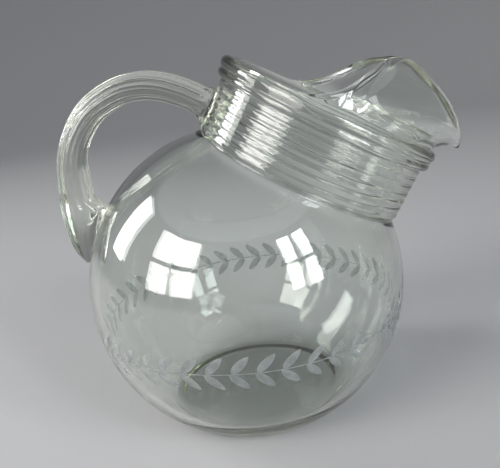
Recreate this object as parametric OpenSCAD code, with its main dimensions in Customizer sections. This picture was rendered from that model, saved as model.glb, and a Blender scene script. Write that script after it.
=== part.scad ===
// Tilt-ball glass pitcher with a ribbed, tilted neck, a hooded pouring lip and a reeded handle.
// Millimetres. The origin is the centre of the resting face, +Z is up, +X points to the pouring lip,
// and the plane Y = 0 is the plane of symmetry.

/* [Ball] */
// Outer radius of the ball
ball_r = 90; // [84:0.5:96]
// Height of the ball's centre above the resting face
ball_h = 73; // [71:0.5:76]
// Thickness of the ball's wall
wall = 4.5; // [3.5:0.5:5.5]

/* [Foot] */
// Height of the inner floor above the resting face
floor_t = 7; // [6:0.5:9]
// Radius of the hollow under the foot
punt_r = 47.5; // [38:0.5:48]
// Depth of the hollow under the foot
punt_d = 1.8; // [1:0.1:2.5]

/* [Neck] */
// Tilt of the neck away from vertical, towards the lip
tilt = 31; // [28:0.5:34]
// Inner radius of the neck
bore_r = 52.5; // [50:0.5:53]
// Radius of the collar between its rings
collar_r = 59.3; // [58:0.1:60]
// Distance of the flange's lower face from the ball's centre, along the neck
flange_s = 100; // [98:0.5:102]
// Distance of the rim's top from the ball's centre, along the neck
rim_s = 111.5; // [110:0.5:113]
// Outer radius of the flange
flange_r = 63.6; // [62.5:0.1:65]

/* [Collar rings] */
// Number of rings moulded round the collar
ring_count = 7; // [5:1:8]
// Height of each ring above the collar
ring_h = 0.5; // [0.3:0.05:1]

/* [Lip] */
// Thickness of the lip where it springs from the rim
lip_root_t = 5; // [4:0.2:5.4]
// Thickness of the lip at its edge
lip_edge_t = 3.6; // [3:0.2:4]

/* [Handle] */
// Width of the handle's section, across the plane of symmetry
handle_w = 20; // [17:0.5:23]
// Thickness of the handle's section
handle_t = 16; // [14:0.5:17]
// Thickness of the handle where it meets the ball
handle_foot_t = 21; // [18:0.5:22]
// Number of reeds round the handle's section
reed_count = 10; // [8:2:16]
// Height of each reed
reed_h = 0.8; // [0.3:0.1:1]

/* [Hidden] */
$fn = 96;

glass_tint = [0.86, 0.92, 0.90, 0.45];
inner_r = ball_r - wall;

// Collar: it overhangs the ball in a narrow ledge, and its shallow round rings lie side by side from
// the ledge up to the flange.
ledge_s = 70;
ledge_r = 56.9;
ring_pitch = (flange_s - ledge_s) / ring_count;
ring_r = (ring_pitch * ring_pitch / 4 + ring_h * ring_h) / (2 * ring_h);

// Flange: a large upper bead and a smaller lower bead with a groove between them.
upper_bead_r = 3.7;
lower_bead_r = 2.7;
rim_edge_r = 59.2;

// Handle: the centre line's points in the plane of symmetry, measured from the ball's centre.
// The first leaves the upper seal along the neck's radius, the last meets the lower seal.
handle_path = [[-12.3, 104.5], [-21, 109.6], [-32, 114.1], [-44, 116.2], [-58, 114.2], [-73.5, 106],
               [-84, 93.5], [-89.3, 80], [-90.7, 67], [-90.2, 56]];
handle_steps = 4;
section_steps = reed_count * 6;

// Upper seal: the fused pad between the collar and the first section of the handle.
seal_s = 83.2;
seal_r = 12;
seal_out_u = 64.5;

// Lower seal: the handle runs on down the ball and tapers into it. Each level slice is
// [height from the ball's centre, distance out of its middle, half its thickness, half its width].
foot_slices = [[33, 90, 9, 8.8], [26, 90, 6.6, 7.2], [18.5, 89.6, 1.6, 3]];

// Lip: one row for each column of the sheet, from the front round to where the edge meets the rim.
// [angle of the column's root, edge point, guide point], points as [towards the lip, sideways, along].
lip_rows = [
    [0, [75, 0, 118.6], [63, 0, 119.5]],
    [20, [70.6, 8, 123.5], [60, 17, 120]],
    [38, [63, 13, 131], [54, 27, 125]],
    [54, [52.5, 14.5, 138.4], [43, 34, 130]],
    [67, [40, 12.5, 143.8], [30, 39, 137]],
    [77, [31, 9, 147.2], [20.5, 43, 142]],
    [82, [24, 6.3, 147.9], [15, 43, 144]],
    [86, [19, 5.5, 144.6], [11, 43.5, 142.5]],
    [90, [16, 13.5, 141.6], [7, 47, 139.5]],
    [94, [12.5, 26.5, 137.8], [2.5, 53, 132]],
    [98, [8, 39, 130.7], [-2, 56, 124]],
    [102, [2, 47.5, 122.7], [-7, 57, 117.5]],
    [107, [-7, 53, 115.8], [-13, 55, 114]],
    [113, [-21, 51.6, 112.4], [-21.5, 51.6, 112]]];
lip_root_r = 56;
lip_last = len(lip_rows) - 1;
lip_columns_per_row = 3;
lip_bands = 8;

// Frames.
module at_ball() { translate([0, 0, ball_h]) children(); }
module at_neck() { at_ball() rotate([0, tilt, 0]) children(); }

// Smooth interpolation through four values, used for the handle's line and the lip's columns.
function smooth(a, b, c, d, t) =
    0.5 * (2 * b + (c - a) * t + (2 * a - 5 * b + 4 * c - d) * t * t + (3 * b - a - 3 * c + d) * t * t * t);

// Skin of a closed polyhedron made of equal rings of points, with flat ends.
function tube_faces(rings, n) = concat(
    [for (i = [0 : rings - 2]) for (j = [0 : n - 1])
        [i * n + j, i * n + (j + 1) % n, (i + 1) * n + (j + 1) % n]],
    [for (i = [0 : rings - 2]) for (j = [0 : n - 1])
        [i * n + j, (i + 1) * n + (j + 1) % n, (i + 1) * n + j]],
    [[for (j = [n - 1 : -1 : 0]) j]],
    [[for (j = [0 : n - 1]) (rings - 1) * n + j]]);

// Ball: a blown shell, open at the neck and open at the foot.
module ball_body() {
    color(glass_tint)
    difference() {
        at_ball() sphere(r = ball_r);
        at_ball() sphere(r = inner_r);
        at_neck() cylinder(r = bore_r, h = 2 * ball_r);
        translate([-ball_r, -ball_r, -ball_r]) cube([2 * ball_r, 2 * ball_r, ball_r + floor_t]);
    }
}

// Foot: the thick pressed bottom, hollowed underneath so that it stands on a ring.
module foot_base() {
    color(glass_tint)
    difference() {
        intersection() {
            at_ball() sphere(r = ball_r);
            translate([-ball_r, -ball_r, 0]) cube([2 * ball_r, 2 * ball_r, floor_t]);
        }
        rotate_extrude()
            polygon([[0, -1], [punt_r + 1, -1], [punt_r + 1, 0], [punt_r - 2, punt_d], [0, punt_d]]);
    }
}

// The round boss on the collar that the upper handle seal fills, out to a distance from the neck's axis.
module seal_boss(out_u) {
    translate([0, 0, seal_s]) rotate([0, -90, 0]) cylinder(r = seal_r, h = out_u);
}

// Collar: the neck's wall with its moulded rings, which stop where the handle is fused on.
module collar_rings() {
    intersection() {
        for (i = [0 : ring_count - 1])
            translate([0, 0, ledge_s + (i + 0.5) * ring_pitch])
                rotate_extrude() translate([collar_r + ring_h - ring_r, 0]) circle(r = ring_r, $fn = 40);
        translate([0, 0, ledge_s]) cylinder(r = 2 * collar_r, h = flange_s - ledge_s);
    }
}

module ribbed_collar() {
    color(glass_tint)
    difference() {
        at_neck() {
            cylinder(r = ledge_r, h = flange_s);
            translate([0, 0, ledge_s]) cylinder(r = collar_r, h = flange_s - ledge_s);
            difference() {
                collar_rings();
                seal_boss(seal_out_u + 5);
            }
        }
        at_neck() cylinder(r = bore_r, h = 2 * ball_r);
        at_ball() sphere(r = ball_r);
    }
}

// Flange: the thick rim of the mouth.
module mouth_flange() {
    color(glass_tint)
    at_neck()
    rotate_extrude()
    difference() {
        union() {
            translate([bore_r, flange_s]) square([rim_edge_r - bore_r, rim_s - flange_s]);
            translate([flange_r - upper_bead_r, rim_s - upper_bead_r]) circle(r = upper_bead_r, $fn = 48);
            translate([flange_r - 0.7 - lower_bead_r, flange_s + lower_bead_r])
                circle(r = lower_bead_r, $fn = 48);
        }
        square([bore_r, 2 * ball_r]);
    }
}

// Lip: a curved sheet that springs from the rim, folds in to a narrow throat and pours at the front.
function lip_row(i) = i < 0
    ? let (r = lip_rows[-i]) [-r[0], [r[1].x, -r[1].y, r[1].z], [r[2].x, -r[2].y, r[2].z]]
    : lip_rows[min(i, lip_last)];

function lip_at(q) =
    let (i = min(floor(q), lip_last - 1), t = q - i, a = lip_row(i - 1), b = lip_row(i),
         c = lip_row(i + 1), d = lip_row(i + 2))
    [for (k = [0 : 2]) smooth(a[k], b[k], c[k], d[k], t)];

function lip_mid(q, v) =
    let (r = lip_at(q), root = [lip_root_r * cos(r[0]), lip_root_r * sin(r[0]), rim_s])
    (1 - v) * (1 - v) * root + 2 * v * (1 - v) * r[2] + v * v * r[1];

// Half of the sheet is worked out and the other half mirrored, so that both match exactly.
function lip_half(q, v, side) =
    let (e = 0.01, q1 = max(q - e, -lip_last), q2 = min(q + e, lip_last),
         across = lip_mid(q2, v) - lip_mid(q1, v),
         along = lip_mid(q, min(v + e, 1)) - lip_mid(q, max(v - e, 0)),
         n = cross(across, along), t = lip_root_t + (lip_edge_t - lip_root_t) * v,
         flat = [n.x, n.y, v == 0 ? 0 : n.z])
    lip_mid(q, v) + side * t / 2 * flat / norm(flat);

function lip_point(q, v, side) =
    let (p = lip_half(abs(q), v, side)) [p.x, q < 0 ? -p.y : (q == 0 ? 0 : p.y), p.z];

module pouring_lip() {
    n = 2 * (lip_bands + 1);
    columns = 2 * lip_last * lip_columns_per_row + 1;
    points = [for (i = [0 : columns - 1])
        let (q = i / lip_columns_per_row - lip_last)
        each concat([for (j = [0 : lip_bands]) lip_point(q, j / lip_bands, 1)],
                    [for (j = [lip_bands : -1 : 0]) lip_point(q, j / lip_bands, -1)])];
    color(glass_tint)
    at_neck() polyhedron(points, tube_faces(columns, n), convexity = 8);
}

// Handle: a reeded section swept along its path.
function path_point(i) = handle_path[max(0, min(i, len(handle_path) - 1))];

function handle_at(q) =
    let (i = min(floor(q), len(handle_path) - 2), t = q - i)
    smooth(i == 0 ? 2 * path_point(0) - path_point(1) : path_point(i - 1), path_point(i),
           path_point(i + 1),
           i == len(handle_path) - 2 ? 2 * path_point(i + 1) - path_point(i) : path_point(i + 2), t);

// Points of the section: an oval with convex reeds and narrow valleys between them.
function reeded(j, t) =
    let (a = 360 * j / section_steps, k = 1 - 2 * reed_h / handle_t * (1 - abs(cos(reed_count / 2 * a))))
    [handle_w / 2 * cos(a) * k, t / 2 * sin(a) * k];

// The section thickens smoothly over the last two stretches of the path.
function thickness_at(q) =
    let (x = max(0, (q - len(handle_path) + 3) / 2))
    handle_t + (handle_foot_t - handle_t) * x * x * (3 - 2 * x);

module handle_strap() {
    rings = (len(handle_path) - 1) * handle_steps + 1;
    points = [for (i = [0 : rings - 1])
        let (q = i / handle_steps, p = handle_at(q),
             d = handle_at(min(q + 0.01, len(handle_path) - 1)) - handle_at(max(q - 0.01, 0)),
             across = [-d.y, d.x] / norm(d))
        each [for (j = [0 : section_steps - 1])
            let (s = reeded(j, thickness_at(q))) [p.x + s.y * across.x, s.x, p.y + s.y * across.y]]];
    color(glass_tint)
    at_ball() polyhedron(points, tube_faces(rings, section_steps), convexity = 8);
}

// Upper seal: the glass pad that joins the handle's first section to the collar.
module upper_handle_seal() {
    color(glass_tint)
    at_neck()
    difference() {
        seal_boss(seal_out_u);
        cylinder(r = collar_r, h = flange_s);
    }
}

// Lower seal: the glass that joins the handle's last section to the ball and runs out in a tail.
module foot_slice(height, out, half_t, half_w) {
    at_ball() translate([-out, 0, height - 0.5]) scale([half_t, half_w, 1]) cylinder(r = 1, h = 0.5, $fn = 32);
}

module lower_handle_seal() {
    end = path_point(len(handle_path) - 1);
    color(glass_tint)
    difference() {
        hull() {
            foot_slice(end.y, -end.x, handle_foot_t / 2, handle_w / 2);
            for (s = foot_slices) foot_slice(s[0], s[1], s[2], s[3]);
        }
        at_ball() sphere(r = ball_r);
    }
}

ball_body();
foot_base();
ribbed_collar();
mouth_flange();
pouring_lip();
handle_strap();
upper_handle_seal();
lower_handle_seal();
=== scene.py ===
"""A clear glass ball pitcher: tilted ribbed neck, hooded pouring lip, reeded handle, cut laurel band."""
import math

import bpy
import numpy as np
from mathutils import Matrix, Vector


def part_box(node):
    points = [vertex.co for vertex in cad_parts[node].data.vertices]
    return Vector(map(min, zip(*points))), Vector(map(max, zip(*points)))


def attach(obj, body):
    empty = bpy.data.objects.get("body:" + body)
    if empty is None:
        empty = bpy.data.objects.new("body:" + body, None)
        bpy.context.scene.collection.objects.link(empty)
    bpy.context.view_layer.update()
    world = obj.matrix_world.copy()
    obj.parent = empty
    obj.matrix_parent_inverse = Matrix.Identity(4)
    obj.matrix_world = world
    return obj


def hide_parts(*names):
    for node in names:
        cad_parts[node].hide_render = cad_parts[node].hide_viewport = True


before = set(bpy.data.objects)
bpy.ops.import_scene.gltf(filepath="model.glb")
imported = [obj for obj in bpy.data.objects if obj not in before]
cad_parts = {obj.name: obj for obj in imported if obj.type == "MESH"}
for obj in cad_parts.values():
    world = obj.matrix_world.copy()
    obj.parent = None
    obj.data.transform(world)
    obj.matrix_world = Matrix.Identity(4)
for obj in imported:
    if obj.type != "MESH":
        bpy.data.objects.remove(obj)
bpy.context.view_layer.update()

# Shapes are worked out in millimetres, in the frame of the CAD model, and become metres in add_mesh.
MM = 0.001
FINE_STEP = 0.1
BODY = "root"


def half_width(node):
    """Half of a CAD node's size across the plane of symmetry, in millimetres."""
    low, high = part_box(node)
    return (high.y - low.y) / 2 / MM


# Driving dimensions, read from the CAD frame.
FLOOR_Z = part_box("foot_base")[1].z / MM
BALL_R = half_width("ball_body")
BALL_Z = FLOOR_Z + math.sqrt(BALL_R ** 2 - half_width("foot_base") ** 2)
FLANGE_R = half_width("mouth_flange")
HANDLE_HALF_W = half_width("handle_strap")

# Body, in the neck's own frame: u towards the lip, y sideways, s along the neck from the ball's centre.
TILT = math.radians(31)
WALL = 4.5
INNER_R = BALL_R - WALL
BORE_R = 52.5
COLLAR_R = 59.3
RING_COUNT = 7
RING_H = 0.5
LEDGE_S = 70.0
LEDGE_R = 56.9
FLANGE_S = 100.0
RIM_S = 111.5
RING_PITCH = (FLANGE_S - LEDGE_S) / RING_COUNT
RING_R = (RING_PITCH ** 2 / 4 + RING_H ** 2) / (2 * RING_H)
RING_CENTRE_R = COLLAR_R + RING_H - RING_R
UPPER_BEAD_R = 3.7
LOWER_BEAD_R = 2.7
PUNT_R = 47.5
PUNT_D = 1.8
HEEL_R = 2.4
POLE_R = 0.8
FLAT_R = 50.0
BORE_DROP = 7.0
NECK_BEND = 7.0

# The ball's surfaces: numbers of rows, and angles from the neck's axis. The rows' axis is upright
# past UPRIGHT_FROM and turns to the neck's at INNER_TOP.
BALL_ROWS = 64
INNER_ROWS = 54
INNER_TOP = math.radians(44)
UPRIGHT_FROM = math.radians(126)
INNER_BOTTOM = math.radians(131)

# Lip: [angle of the column's root, edge point, guide point], from the front round to where it ends.
LIP_ROWS = np.array([
    [0, 75, 0, 118.6, 63, 0, 119.5],
    [20, 70.6, 8, 123.5, 60, 17, 120],
    [38, 63, 13, 131, 54, 27, 125],
    [54, 52.5, 14.5, 138.4, 43, 34, 130],
    [67, 40, 12.5, 143.8, 30, 39, 137],
    [77, 31, 9, 147.6, 20.5, 43, 142],
    [82, 24, 6.3, 147.6, 15, 43, 144],
    [86, 19, 5.5, 144.2, 11, 43.5, 142.5],
    [90, 16, 13.5, 142.6, 7, 47, 139.5],
    [94, 12.5, 26.5, 138.4, 2.5, 53, 132],
    [98, 8, 39, 130.7, -2, 56, 124],
    [102, 2, 47.5, 122.7, -7, 57, 117.5],
    [107, -7, 53, 115.8, -13, 55, 114],
    [113, -21, 51.6, 112.4, -21.5, 51.6, 112]], float)
LIP_COLUMNS = [10, 10, 10, 10, 12, 10, 8, 8, 10, 8, 7, 6, 6]
BACK_COLUMNS = 27
# Steps from root to edge, rows outside and inside, how they crowd towards the edge, passes of
# smoothing, and the angles over which the lip turns into the plain rim.
LIP_STEPS = 25
LIP_OUTER_ROWS = 31
LIP_INNER_ROWS = 34
LIP_CROWDING = 1.8
LIP_SMOOTHING = 6
LIP_FADE_FROM = 105
LIP_FADE_OVER = 8
LIP_ROOT_R = 56.0
LIP_ROOT_T = 5.0
LIP_EDGE_T = 2.8
RIM_MIDDLE_R = 57.5
RIM_ROUND = 2.6

# Handle: the centre line down to the ball, in the plane of symmetry, from the ball's centre.
HANDLE_PATH = np.array([
    [-21, 109.6], [-32, 114.1], [-44, 116.2], [-58, 114.2], [-73.5, 106],
    [-84, 93.5], [-89.3, 80], [-90.6, 67]], float)
HANDLE_HALF_T = 8.1
LOOP_ROWS = 78
THICKENING = 1.2
REED_COUNT = 10
REED_H = 0.8
REED_POINTS = 12
SEAL_S = 83.2
SEAL_R = 12.0
FLARE = 1.8
DROOP = 4.5
FLARE_LENGTH = 9.0
FLARE_ROWS = 16
SINK = 0.25
# Below that, level slices: [height, outer x, centre x, half the width].
HANDLE_FOOT = np.array([
    [61, -100.2, -90.4, 10.1], [55, -100.7, -90.2, 10.4], [49, -100.6, -90.2, 10.6],
    [43, -100.1, -90.1, 10.4], [37, -99.4, -89.8, 9.7], [31, -98.2, -89.4, 8.6],
    [26, -96.3, -89.2, 7.3], [21.5, -93.4, -89.1, 5.2], [18.5, -91.0, -88.9, 2.8]], float)
FOOT_ROWS = 40
FOOT_INNER_T = 9.6
FOOT_SINK = 1.6
FILLET_TOP = 58.0
FILLET_DEPTH = 9.0
REED_END_Z = 18.0
REED_FADE = 16.0


# ---------------------------------------------------------------- curves and grids

def smooth_curve(points, q):
    """Rows of points joined by a Catmull-Rom curve, at the positions q along them."""
    points, q = np.asarray(points, float), np.atleast_1d(np.asarray(q, float))
    i = np.minimum(np.floor(q).astype(int), len(points) - 2)
    t = (q - i)[:, None]
    first = 2 * points[0] - points[1]
    last = 2 * points[-1] - points[-2]
    padded = np.vstack([first, points, last])
    a, b, c, d = (padded[i + k] for k in range(4))
    return 0.5 * (2 * b + (c - a) * t + (2 * a - 5 * b + 4 * c - d) * t ** 2
                  + (3 * b - a - 3 * c + d) * t ** 3)


def bezier(a, guide, b, t):
    """A quadratic curve from a to b, pulled towards guide."""
    t = np.asarray(t, float)[:, None]
    return (1 - t) ** 2 * np.asarray(a, float) + 2 * t * (1 - t) * np.asarray(guide, float) \
        + t ** 2 * np.asarray(b, float)


def arc(centre, radius, start, end, count):
    """Points on an arc in the plane of a profile, from start to end in degrees."""
    a = np.radians(np.linspace(start, end, count))
    return np.c_[centre[0] + radius * np.cos(a), centre[1] + radius * np.sin(a)]


def ease(x):
    """0 below 0, 1 above 1 and smooth between."""
    x = np.clip(x, 0, 1)
    return x * x * (3 - 2 * x)


def resample(line, share):
    """A polyline's points at these shares of its length."""
    step = np.linalg.norm(np.diff(line, axis=0), axis=1)
    at = np.concatenate([[0], np.cumsum(step)])
    return np.stack([np.interp(share * at[-1], at, line[:, k]) for k in range(line.shape[1])], 1)


def soften(profile, width, spacing):
    """A profile resampled at an even spacing and rounded over about width, with its ends kept."""
    length = np.linalg.norm(np.diff(profile, axis=0), axis=1).sum()
    fine = resample(profile, np.linspace(0, 1, int(length / FINE_STEP)))
    reach = int(4 * width / FINE_STEP)
    kernel = np.exp(-0.5 * (np.arange(-reach, reach + 1) * FINE_STEP / width) ** 2)
    kernel /= kernel.sum()
    padded = np.vstack([2 * fine[0] - fine[reach:0:-1], fine, 2 * fine[-1] - fine[-2:-reach - 2:-1]])
    rounded = np.stack([np.convolve(padded[:, k], kernel, "valid") for k in range(2)], 1)
    return resample(rounded, np.linspace(0, 1, int(length / spacing)))


def add_mesh(name, points, faces):
    """A smooth-shaded mesh object from points in millimetres."""
    mesh = bpy.data.meshes.new(name)
    mesh.from_pydata((np.asarray(points) * MM).tolist(), [], faces)
    mesh.validate()
    mesh.shade_smooth()
    piece = bpy.data.objects.new(name, mesh)
    bpy.context.scene.collection.objects.link(piece)
    return piece


def skin(rows, columns):
    """Faces between neighbouring closed rows of points."""
    return [(i * columns + j, i * columns + (j + 1) % columns,
             (i + 1) * columns + (j + 1) % columns, (i + 1) * columns + j)
            for i in range(rows - 1) for j in range(columns)]


# ---------------------------------------------------------------- body

def column_angles():
    """Positions along LIP_ROWS of half of the lip's columns, and the angle of every half column."""
    q = np.concatenate([i + np.arange(n) / n for i, n in enumerate(LIP_COLUMNS)] + [[len(LIP_COLUMNS)]])
    lip = smooth_curve(LIP_ROWS, q)[:, 0]
    lip[0] = 0
    back = np.linspace(LIP_ROWS[-1, 0], 180, BACK_COLUMNS + 1)[1:]
    return q, np.radians(np.concatenate([lip, back]))


LIP_Q, HALF_ANGLES = column_angles()
ANGLES = np.concatenate([HALF_ANGLES, -HALF_ANGLES[-2:0:-1]])


def in_frame(points, tilt=TILT):
    """Points [u, y, s] about the ball's centre, turned by tilt and set at the ball's height."""
    u, y, s = points[..., 0], points[..., 1], points[..., 2]
    c, n = np.cos(tilt), np.sin(tilt)
    return np.stack([u * c + s * n, y, -u * n + s * c + BALL_Z], -1)


def circles(radius, s, tilt):
    """One circle of points for each radius and distance s along an axis with that tilt."""
    radius, s, tilt = (np.asarray(v, float)[:, None] for v in (radius, s, tilt))
    ones = np.ones_like(ANGLES)
    points = np.stack([radius * np.cos(ANGLES), radius * np.sin(ANGLES), s * ones], -1)
    return in_frame(points, tilt * ones)


def level_circles(profile):
    """Level circles for a profile of [radius, height above the resting face]."""
    return circles(profile[:, 0], profile[:, 1] - BALL_Z, np.zeros(len(profile)))


def ball_circles(radius, top, bottom, count):
    """Circles on a ball whose axis turns from the neck's at the top to upright at the bottom."""
    polar = np.linspace(bottom, top, count)
    turn = ease((UPRIGHT_FROM - polar) / (UPRIGHT_FROM - INNER_TOP))
    return circles(radius * np.sin(polar), radius * np.cos(polar), TILT * turn)


def under_foot():
    """Profile of the hollow under the foot, its ring and the rounded heel, and the heel's end angle."""
    heel_r = math.sqrt((BALL_R - HEEL_R) ** 2 - (BALL_Z - HEEL_R) ** 2)
    slope = math.atan2(BALL_Z - HEEL_R, heel_r)
    hollow = [[POLE_R, PUNT_D + 0.3], [PUNT_R - 12, PUNT_D + 0.1], [PUNT_R - 2.5, PUNT_D], [PUNT_R + 1, 0]]
    line = np.vstack([hollow, arc((heel_r, HEEL_R), HEEL_R, -90, -math.degrees(slope), 9)])
    return soften(line, 0.5, 1.6), math.pi / 2 + slope


def collar_profile():
    """Outer profile [radius, s] from the ball's surface over the ledge and rings to the flange."""
    meet = math.asin(LEDGE_R / BALL_R)
    half = math.degrees(math.asin(RING_PITCH / 2 / RING_R))
    ledge = [[LEDGE_R + 0.2, LEDGE_S - 0.4], [COLLAR_R - 0.5, LEDGE_S], [COLLAR_R, LEDGE_S + 0.4]]
    rings = [arc((RING_CENTRE_R, LEDGE_S + (i + 0.5) * RING_PITCH), RING_R, -half, half, 11)
             for i in range(RING_COUNT)]
    rings[0] = rings[0][3:]
    return np.vstack([ledge] + rings + [[[COLLAR_R + 0.4, FLANGE_S]]]), meet


def flange_profile():
    """Outer profile of the flange: a small bead, a groove and the large bead of the rim."""
    lower = (FLANGE_R - 0.7 - LOWER_BEAD_R, FLANGE_S + LOWER_BEAD_R)
    upper = (FLANGE_R - UPPER_BEAD_R, RIM_S - UPPER_BEAD_R)
    return np.vstack([arc(lower, LOWER_BEAD_R, -90, 42, 14), arc(upper, UPPER_BEAD_R, -50, 90, 18)])


def collar_circles():
    """The collar and flange, with the rings fading out under the handle's upper seal."""
    rings, meet = collar_profile()
    profile = soften(np.vstack([rings, flange_profile()]), 0.3, 0.55)
    s = profile[:, 1][:, None] * np.ones_like(ANGLES)
    along = np.where(s < SEAL_S, 0.8, 1) * (s - SEAL_S)
    from_seal = np.hypot(COLLAR_R * np.sin(ANGLES), along)
    fade = np.where(np.cos(ANGLES) > 0, 1, ease((from_seal - SEAL_R + 2.5) / 3.0))
    radius = COLLAR_R + (profile[:, 0][:, None] - COLLAR_R) * np.where(s < FLANGE_S - 1, fade, 1)
    return in_frame(np.stack([radius * np.cos(ANGLES), radius * np.sin(ANGLES), s], -1)), meet


def lip_middle():
    """The middle surface of half of the lip: a column of points for each LIP_Q, from root to edge."""
    mirrored = LIP_ROWS[1:2] * np.array([-1, 1, -1, 1, 1, -1, 1])
    rows = np.vstack([mirrored, LIP_ROWS])
    column = smooth_curve(rows, LIP_Q + 1)
    angle = np.radians(column[:, 0])
    root = np.stack([LIP_ROOT_R * np.cos(angle), LIP_ROOT_R * np.sin(angle), np.full(len(angle), RIM_S)], 1)
    v = np.linspace(0, 1, LIP_STEPS)
    middle = np.stack([bezier(root[i], column[i, 4:7], column[i, 1:4], v) for i in range(len(column))])
    middle[0, :, 1] = 0
    return middle, v


def unit(vectors):
    """The vectors at length 1."""
    return vectors / np.maximum(np.linalg.norm(vectors, axis=-1, keepdims=True), 1e-9)


def lip_normals(middle):
    """Outward unit normals of the lip's middle surface, level where it springs from the rim."""
    whole = np.concatenate([middle[:0:-1] * [1, -1, 1], middle])
    across = np.gradient(whole, axis=0)[len(middle) - 1:]
    along = np.gradient(middle, axis=1)
    normal = np.cross(across, along)
    normal[0, :, 1] = 0
    normal[:, 0, 2] = 0
    return unit(normal)


def rim_line(angle):
    """Across the plain rim at one angle: from the bead's top to the middle, and on to the bore."""
    radial = np.array([math.cos(angle), math.sin(angle), 0])
    outer = np.array([[FLANGE_R - UPPER_BEAD_R, RIM_S], [RIM_MIDDLE_R, RIM_S], [LIP_ROOT_R, RIM_S]])
    turn = arc((BORE_R + RIM_ROUND, RIM_S - RIM_ROUND), RIM_ROUND, 90, 180, 8)
    inner = np.vstack([[[LIP_ROOT_R, RIM_S]], turn, [[BORE_R, RIM_S - BORE_DROP]]])
    return [line[:, :1] * radial + line[:, 1:] * [0, 0, 1] for line in (outer, inner)]


def lip_line(middle, normal, v, angle):
    """Along one column of the lip: up its outer face to the edge's crown, and down inside to the bore."""
    radial = np.array([math.cos(angle), math.sin(angle), 0])
    length = np.linalg.norm(np.diff(middle, axis=0), axis=1).sum()
    half_t = (LIP_ROOT_T + (LIP_EDGE_T - LIP_ROOT_T) * v) / 2
    cap = min(LIP_EDGE_T / 2, 0.45 * length)
    along = unit(middle[-1] - middle[-2])
    centre, n = middle[-1] - along * cap, normal[-1]
    keep = (1 - v) * length > cap
    turn = np.radians(np.linspace(0, 90, 8))[:, None]
    lines = []
    for side in (1, -1):
        face = (middle + side * normal * half_t[:, None])[keep]
        round_edge = centre + cap * (side * n * np.cos(turn) + along * np.sin(turn))
        lines.append(np.vstack([face, round_edge]))
    start = radial * (FLANGE_R - UPPER_BEAD_R) + [0, 0, RIM_S]
    end = radial * BORE_R + [0, 0, RIM_S - BORE_DROP]
    bend = radial * (BORE_R + 0.4) + [0, 0, RIM_S - BORE_DROP / 2]
    return np.vstack([start, lines[0]]), np.vstack([lines[1][::-1], bend, end])


def lip_circles():
    """The rim and lip as closed rows, from the flange's bead over the edge to the bore."""
    shares = (1 - (1 - np.linspace(0, 1, LIP_OUTER_ROWS)) ** LIP_CROWDING,
              np.linspace(0, 1, LIP_INNER_ROWS + 1)[1:] ** LIP_CROWDING)
    middle, v = lip_middle()
    normal = lip_normals(middle)
    columns = []
    for i, angle in enumerate(HALF_ANGLES):
        column = [resample(line, share) for line, share in zip(rim_line(angle), shares)]
        if i < len(LIP_Q):
            folded = lip_line(middle[i], normal[i], v, angle)
            raised = 1 - ease((math.degrees(angle) - LIP_FADE_FROM) / LIP_FADE_OVER)
            column = [resample(line, share) * raised + flat * (1 - raised)
                      for line, share, flat in zip(folded, shares, column)]
        columns.append(np.vstack(column))
    half = np.array(columns)
    half[0, :, 1] = 0
    rows = np.concatenate([half, half[-2:0:-1] * [1, -1, 1]]).transpose(1, 0, 2)
    for _ in range(LIP_SMOOTHING):
        inside = rows[1:-1]
        inside = (rows[:-2] + 2 * inside + rows[2:]) / 4
        inside = (np.roll(inside, 1, 1) + 2 * inside + np.roll(inside, -1, 1)) / 4
        rows[1:-1] = inside
    return in_frame(rows)


def inner_neck():
    """Profile [radius, s] down the bore and round into the ball's inner surface."""
    corner_s = math.sqrt(INNER_R ** 2 - BORE_R ** 2)
    above = [BORE_R, corner_s + NECK_BEND]
    ball = [INNER_R * math.sin(INNER_TOP), INNER_R * math.cos(INNER_TOP)]
    bend = bezier(above, [BORE_R, corner_s], ball, np.linspace(0, 1, 9))
    return soften(np.vstack([[[BORE_R, RIM_S - BORE_DROP]], bend]), 0.8, 1.6)


def inner_floor():
    """Profile [radius, height] of the floor inside, from its middle out to the ball's inner surface."""
    edge = [INNER_R * math.sin(INNER_BOTTOM), INNER_R * math.cos(INNER_BOTTOM) + BALL_Z]
    flat = bezier([12, FLOOR_Z + 0.4], [34, FLOOR_Z + 0.1], [FLAT_R, FLOOR_Z], np.linspace(0, 1, 9))
    corner = bezier([FLAT_R, FLOOR_Z], [55.5, FLOOR_Z + 0.2], edge, np.linspace(0, 1, 14))
    return np.vstack([[[POLE_R, FLOOR_Z + 0.5]], flat, corner[1:]])


def glass_body():
    """The blown body as one closed skin: foot, ball, collar, flange, lip and the whole inside."""
    foot, heel = under_foot()
    collar, meet = collar_circles()
    neck = inner_neck()
    outside = [level_circles(foot), ball_circles(BALL_R, meet, heel, BALL_ROWS), collar, lip_circles()]
    inside = [circles(neck[:, 0], neck[:, 1], np.full(len(neck), TILT)),
              ball_circles(INNER_R, INNER_TOP, INNER_BOTTOM, INNER_ROWS)[::-1],
              level_circles(inner_floor()[::-1])]
    parts = outside + inside
    rows = np.concatenate(parts[:1] + [part[1:] for part in parts[1:]])
    count, columns = rows.shape[:2]
    points = np.vstack([rows.reshape(-1, 3), [[0, 0, PUNT_D + 0.3]], [[0, 0, FLOOR_Z + 0.5]]])
    below, above = count * columns, count * columns + 1
    last = (count - 1) * columns
    faces = skin(count, columns)
    faces += [(below, (j + 1) % columns, j) for j in range(columns)]
    faces += [(above, last + j, last + (j + 1) % columns) for j in range(columns)]
    return add_mesh("glass_body", points, faces)


# ---------------------------------------------------------------- handle

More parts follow.
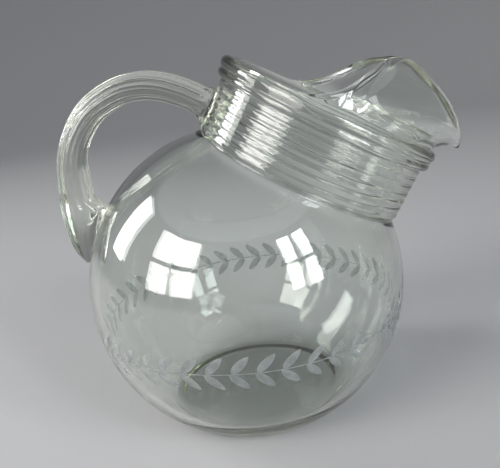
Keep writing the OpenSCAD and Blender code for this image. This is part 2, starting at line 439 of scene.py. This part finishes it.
def reeded_section(half_w, outer_t, inner_t, reed):
    """Points [sideways, outward] round the handle's section, with convex reeds and narrow valleys."""
    a = np.linspace(0, 2 * math.pi, REED_COUNT * REED_POINTS, endpoint=False)
    k = 1 - reed * (1 - np.abs(np.cos(REED_COUNT / 2 * a)))
    half_t = np.where(np.sin(a) > 0, outer_t, inner_t)
    return np.c_[-half_w * np.cos(a) * k, half_t * np.sin(a) * k]


def placed(centre, outward, section):
    """A section's points in the CAD frame, about a centre [x, z] from the ball's centre."""
    sideways, out = section[:, 0], section[:, 1]
    return np.c_[centre[0] + outward[0] * out, sideways, centre[1] + outward[1] * out]


def flare_rings():
    """The handle's upper end: it flares, most of all downwards, and fits the round of the collar."""
    axis, out = np.array([math.sin(TILT), math.cos(TILT)]), np.array([-math.cos(TILT), math.sin(TILT)])
    rings = []
    for t in np.linspace(0, 1, FLARE_ROWS):
        grow, droop = FLARE * (1 - t) ** 2.6, DROOP * (1 - t) ** 2.2
        half_t = HANDLE_HALF_T + grow
        reed = REED_H / HANDLE_HALF_T * ease(1.3 * t)
        section = reeded_section(HANDLE_HALF_W + 0.7 * grow, half_t, half_t + droop, reed)
        ring = placed(axis * SEAL_S + out * (COLLAR_R - SINK + FLARE_LENGTH * t), axis, section)
        hollow = COLLAR_R - np.sqrt(COLLAR_R ** 2 - section[:, 0] ** 2)
        rings.append(ring - (hollow * (1 - t))[:, None] * [out[0], 0, out[1]])
    return rings


def handle_rings():
    """Sections of the handle: flared on the collar, round the loop, and down on to the ball."""
    reed = REED_H / HANDLE_HALF_T
    rings = flare_rings()
    q = np.linspace(0, len(HANDLE_PATH) - 1, LOOP_ROWS)
    line = smooth_curve(HANDLE_PATH, q)
    along = unit(np.gradient(line, axis=0))
    for point, d, position in zip(line, along, q):
        half_t = HANDLE_HALF_T + THICKENING * ease((position - 5) / 2.4)
        section = reeded_section(HANDLE_HALF_W, half_t, half_t, reed)
        rings.append(placed(point, np.array([d[1], -d[0]]), section))
    foot = smooth_curve(HANDLE_FOOT, np.linspace(0, len(HANDLE_FOOT) - 1, FOOT_ROWS))
    for z, outer, centre, half_w in foot:
        ball_x = -math.sqrt((BALL_R - FOOT_SINK) ** 2 - z ** 2)
        joined = ease((FILLET_TOP - z) / FILLET_DEPTH)
        inner_t = FOOT_INNER_T + (ball_x - centre - FOOT_INNER_T) * joined
        fading = reed * ease((z - REED_END_Z) / REED_FADE)
        section = reeded_section(half_w, centre - outer, inner_t, fading)
        rings.append(placed(np.array([centre, z]), np.array([-1, 0]), section))
    return rings


def on_the_ball(points):
    """Points moved out to just under the ball's surface where they would lie deeper inside it."""
    depth = np.linalg.norm(points, axis=1, keepdims=True)
    return points * np.maximum(1, (BALL_R - SINK) / depth)


def glass_handle():
    """The drawn handle as one closed skin, fused a little into the body at both ends."""
    rings = handle_rings()
    columns = REED_COUNT * REED_POINTS
    ends = [rings[0].mean(0), rings[-1].mean(0)]
    points = on_the_ball(np.vstack(rings + ends))
    faces = skin(len(rings), columns)
    first, last = len(points) - 2, len(points) - 1
    end = (len(rings) - 1) * columns
    faces += [(first, (j + 1) % columns, j) for j in range(columns)]
    faces += [(last, end + j, end + (j + 1) % columns) for j in range(columns)]
    return add_mesh("glass_handle", points + [0, 0, BALL_Z], faces)


# ---------------------------------------------------------------- laurel band

STEM_Z = -16.0
LEAF_LENGTH = 12.6
LEAF_HALF_W = 2.35
LEAF_PAIRS = 22
LEAF_STEPS = 10
LEAF_SIDES = 4
LEAF_ROUNDNESS = 0.62
LEAF_RISE = 0.10
LEAF_CLEAR = 0.03
LEAF_RIM = 0.02
UPPER_LEAN = 44
LOWER_LEAN = -43
STEM_HALF_W = 0.28
STEM_RISE = 0.05
STEM_WAVE = 0.5


def on_ball(azimuth, z, height):
    """A point above the ball's surface, at an azimuth in degrees and a height z from its centre."""
    a, level = math.radians(azimuth), math.sqrt(BALL_R ** 2 - z * z)
    scale = (BALL_R + height) / BALL_R
    return [level * math.cos(a) * scale, level * math.sin(a) * scale, z * scale + BALL_Z]


def leaf(base_azimuth, base_z, lean, length):
    """A domed almond on the ball, from its base along a direction lean degrees above the horizontal."""
    level = math.sqrt(BALL_R ** 2 - base_z ** 2)
    c, s = math.cos(math.radians(lean)), math.sin(math.radians(lean))
    top, bottom = [], []
    for i in range(LEAF_STEPS + 1):
        t = i / LEAF_STEPS
        swell = max(0.02, 1 - (2 * t - 1) ** 2) ** LEAF_ROUNDNESS * (1.12 - 0.3 * t)
        half_w = LEAF_HALF_W * swell * length / LEAF_LENGTH
        for j in range(-LEAF_SIDES, LEAF_SIDES + 1):
            side = j / LEAF_SIDES * half_w
            along, up = t * length * c - side * s, t * length * s + side * c
            azimuth, z = base_azimuth + math.degrees(along / level), base_z + up
            dome = LEAF_RISE * (1 - (j / LEAF_SIDES) ** 2) * (1 - (2 * t - 1) ** 4)
            top.append(on_ball(azimuth, z, LEAF_CLEAR + LEAF_RIM + dome))
            bottom.append(on_ball(azimuth, z, LEAF_CLEAR))
    return top, bottom, LEAF_STEPS + 1, 2 * LEAF_SIDES + 1


def closed_patch(top, bottom, rows, columns, offset):
    """Faces of a thin closed patch made of two grids of points."""
    n = rows * columns
    faces = []
    for i in range(rows - 1):
        for j in range(columns - 1):
            a, b = i * columns + j, i * columns + j + 1
            c, d = b + columns, a + columns
            faces += [(offset + a, offset + d, offset + c, offset + b),
                      (offset + n + a, offset + n + b, offset + n + c, offset + n + d)]
    rim = list(range(columns)) + [i * columns + columns - 1 for i in range(1, rows)]
    rim += [(rows - 1) * columns + j for j in range(columns - 2, -1, -1)]
    rim += [i * columns for i in range(rows - 2, 0, -1)]
    for a, b in zip(rim, rim[1:] + rim[:1]):
        faces.append((offset + a, offset + b, offset + n + b, offset + n + a))
    return faces


def stem_patch(route):
    """A thin raised ribbon along a route of [azimuth, z] on the ball."""
    top, bottom = [], []
    for azimuth, z in route:
        for j, rise in ((-1, 0), (0, STEM_RISE), (1, 0)):
            top.append(on_ball(azimuth, z + j * STEM_HALF_W, LEAF_CLEAR + LEAF_RIM + rise))
            bottom.append(on_ball(azimuth, z + j * STEM_HALF_W, LEAF_CLEAR))
    return top, bottom, len(route), 3


def laurel_spray(name, first, last, tail):
    """One spray: a stem from its bare tail to its tip, with leaves in pairs along it."""
    points, faces = [], []

    def take(patch):
        top, bottom, rows, columns = patch
        faces.extend(closed_patch(top, bottom, rows, columns, len(points)))
        points.extend(top + bottom)

    def stem_z(azimuth):
        return STEM_Z + STEM_WAVE * math.sin(math.radians(4 * (azimuth - first)))

    route = tail + [(a, stem_z(a)) for a in np.linspace(first, last, 90)]
    take(stem_patch(route))
    for k in range(LEAF_PAIRS):
        azimuth = first + (last - first) * (k + 0.4) / LEAF_PAIRS
        size = 1 - 0.25 * ease((k - LEAF_PAIRS + 5) / 5)
        take(leaf(azimuth + 0.6, stem_z(azimuth) + 0.4, UPPER_LEAN, LEAF_LENGTH * size))
        take(leaf(azimuth, stem_z(azimuth) - 0.4, LOWER_LEAN, LEAF_LENGTH * size))
    take(leaf(last, stem_z(last), 8, LEAF_LENGTH * 0.75))
    return add_mesh(name, points, faces)


# ---------------------------------------------------------------- materials

def new_material(name):
    """A node material, with its nodes, its links and its Principled shader."""
    material = bpy.data.materials.new(name)
    material.use_nodes = True
    nodes = material.node_tree.nodes
    return material, nodes, material.node_tree.links, nodes["Principled BSDF"]


def glass_material(name, tint, wave_scale, wave_depth):
    """Clear soda glass with faint cords and ripples in its surface."""
    material, nodes, links, shader = new_material(name)
    shader.inputs["Base Color"].default_value = (*tint, 1)
    shader.inputs["Transmission Weight"].default_value = 1
    shader.inputs["IOR"].default_value = 1.5
    place = nodes.new("ShaderNodeTexCoord")
    ripple = nodes.new("ShaderNodeTexNoise")
    ripple.inputs["Scale"].default_value = wave_scale
    ripple.inputs["Detail"].default_value = 1.5
    links.new(place.outputs["Object"], ripple.inputs["Vector"])
    bump = nodes.new("ShaderNodeBump")
    bump.inputs["Strength"].default_value = 0.3
    bump.inputs["Distance"].default_value = wave_depth
    links.new(ripple.outputs["Fac"], bump.inputs["Height"])
    links.new(bump.outputs["Normal"], shader.inputs["Normal"])
    wear = nodes.new("ShaderNodeMapRange")
    wear.inputs["From Min"].default_value = 0.3
    wear.inputs["From Max"].default_value = 0.7
    wear.inputs["To Min"].default_value = 0.0
    wear.inputs["To Max"].default_value = 0.03
    links.new(ripple.outputs["Fac"], wear.inputs["Value"])
    links.new(wear.outputs["Result"], shader.inputs["Roughness"])
    depth = nodes.new("ShaderNodeVolumeAbsorption")
    depth.inputs["Color"].default_value = (0.70, 0.75, 0.50, 1)
    depth.inputs["Density"].default_value = 13
    links.new(depth.outputs["Volume"], nodes["Material Output"].inputs["Volume"])
    return material


def frosted_material(name):
    """Wheel-cut matt glass, which lets most of the light through."""
    material, nodes, links, shader = new_material(name)
    place = nodes.new("ShaderNodeTexCoord")
    grain = nodes.new("ShaderNodeTexNoise")
    grain.inputs["Scale"].default_value = 300
    grain.inputs["Detail"].default_value = 6
    links.new(place.outputs["Object"], grain.inputs["Vector"])
    shade = nodes.new("ShaderNodeValToRGB")
    shade.color_ramp.elements[0].position = 0.32
    shade.color_ramp.elements[0].color = (0.52, 0.54, 0.55, 1)
    shade.color_ramp.elements[1].position = 0.68
    shade.color_ramp.elements[1].color = (0.86, 0.88, 0.89, 1)
    links.new(grain.outputs["Fac"], shade.inputs["Fac"])
    links.new(shade.outputs["Color"], shader.inputs["Base Color"])
    shader.inputs["Transmission Weight"].default_value = 0.9
    shader.inputs["Roughness"].default_value = 0.5
    shader.inputs["IOR"].default_value = 1.25
    bump = nodes.new("ShaderNodeBump")
    bump.inputs["Strength"].default_value = 0.4
    bump.inputs["Distance"].default_value = 0.00005
    links.new(grain.outputs["Fac"], bump.inputs["Height"])
    links.new(bump.outputs["Normal"], shader.inputs["Normal"])
    return material


def floor_material():
    """Matt pale paper."""
    material, _, _, shader = new_material("pale_floor")
    shader.inputs["Base Color"].default_value = (0.32, 0.32, 0.325, 1)
    shader.inputs["Roughness"].default_value = 0.8
    return material


# ---------------------------------------------------------------- pieces

def make_pieces():
    """The jug's four pieces, each with its material and its body."""
    clear = glass_material("clear_glass", (0.96, 0.985, 0.97), 26, 0.0004)
    drawn = glass_material("handle_glass", (0.96, 0.985, 0.97), 24, 0.00015)
    matt = frosted_material("cut_glass")
    body = glass_body()
    body.data.materials.append(clear)
    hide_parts("ball_body", "foot_base", "ribbed_collar", "mouth_flange", "pouring_lip")
    handle = glass_handle()
    handle.data.materials.append(drawn)
    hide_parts("handle_strap", "upper_handle_seal", "lower_handle_seal")
    front = laurel_spray("laurel_spray_front", -226, -50, [])
    back = laurel_spray("laurel_spray_back", -42, 130, [(-52, -35), (-50, -27.5), (-47.5, -21.5), (-45, -18)])
    for spray in (front, back):
        spray.data.materials.append(matt)
    for piece in (body, handle, front, back):
        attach(piece, BODY)


# ---------------------------------------------------------------- studio

LAMP_DISTANCE = 2.0
LAMP_TARGET = np.array([0, 0, 0.09])
LAMP_SPREAD = math.radians(100)


def softbox(name, azimuth, elevation, width, height, power, color):
    """A rectangular area light facing the jug. Azimuth 0 is in front, on -Y, and 90 on +X."""
    a, e = math.radians(azimuth), math.radians(elevation)
    data = bpy.data.lights.new(name, "AREA")
    data.shape = "RECTANGLE"
    data.size, data.size_y, data.energy, data.color = width, height, power, color
    data.spread = LAMP_SPREAD
    light = bpy.data.objects.new(name, data)
    out = np.array([math.sin(a) * math.cos(e), -math.cos(a) * math.cos(e), math.sin(e)])
    spin = Matrix.Rotation(a, 4, "Z") @ Matrix.Rotation(math.pi / 2 - e, 4, "X")
    light.matrix_world = Matrix.Translation(LAMP_TARGET + out * LAMP_DISTANCE) @ spin
    light.visible_camera = False
    bpy.context.scene.collection.objects.link(light)


def window(name, azimuths, elevations, width, height, power, color):
    """Softboxes side by side and one above the other, with narrow bars between them."""
    for i, azimuth in enumerate(azimuths):
        for j, elevation in enumerate(elevations):
            softbox(f"{name}_{i + 1}_{j + 1}", azimuth, elevation, width, height, power, color)


def studio():
    """The floor, the lamps and an even grey world."""
    floor = add_mesh("studio_floor", *floor_bowl())
    floor.data.materials.append(floor_material())
    window("window_left", (-61, -42), (14, 33), 0.58, 0.58, 3.75, (1, 0.98, 0.95))
    window("window_right", (38, 52), (13, 31), 0.30, 0.56, 2.7, (0.92, 0.96, 1))
    softbox("side_left", -104, 26, 0.5, 1.1, 7.5, (1, 1, 1))
    world = bpy.data.worlds.new("studio")
    bpy.context.scene.world = world
    world.use_nodes = True
    world.node_tree.nodes["Background"].inputs["Color"].default_value = (0.62, 0.64, 0.67, 1)
    world.node_tree.nodes["Background"].inputs["Strength"].default_value = 1


def floor_bowl():
    """A wide round floor that sweeps up all round like a studio cove, in millimetres."""
    columns = 96
    a = np.linspace(0, 2 * math.pi, columns, endpoint=False)
    profile = np.vstack([[[1300, -0.2]], arc((1400, 1200), 1200.2, -90, 0, 24), [[2600, 2600]]])
    points = np.vstack([np.c_[r * np.cos(a), r * np.sin(a), np.full(columns, z)] for r, z in profile]
                       + [[[0, 0, -0.2]]])
    centre = len(points) - 1
    return points, [(centre, j, (j + 1) % columns) for j in range(columns)] \
        + [face[::-1] for face in skin(len(profile), columns)]


def camera():
    """The camera at the photograph's viewing angle."""
    data = bpy.data.cameras.new("camera")
    data.lens = 47.75
    data.sensor_width = 36
    eye = bpy.data.objects.new("camera", data)
    heading, pitch, roll = math.radians(3.32), math.radians(-15.97), math.radians(-6.89)
    eye.matrix_world = (Matrix.Translation((0.0264, -0.3676, 0.2045)) @ Matrix.Rotation(heading, 4, "Z")
                        @ Matrix.Rotation(math.pi / 2 + pitch, 4, "X") @ Matrix.Rotation(roll, 4, "Z"))
    bpy.context.scene.collection.objects.link(eye)
    bpy.context.scene.camera = eye


def light_paths():
    """Enough bounces for thick glass, and a plain view transform."""
    scene = bpy.context.scene
    scene.cycles.max_bounces = 24
    scene.cycles.transmission_bounces = 24
    scene.cycles.glossy_bounces = 8
    scene.cycles.diffuse_bounces = 4
    scene.cycles.transparent_max_bounces = 16
    scene.cycles.sample_clamp_indirect = 6
    scene.cycles.blur_glossy = 0.5
    scene.cycles.use_denoising = True
    scene.view_settings.view_transform = "Standard"


camera()
make_pieces()
studio()
light_paths()
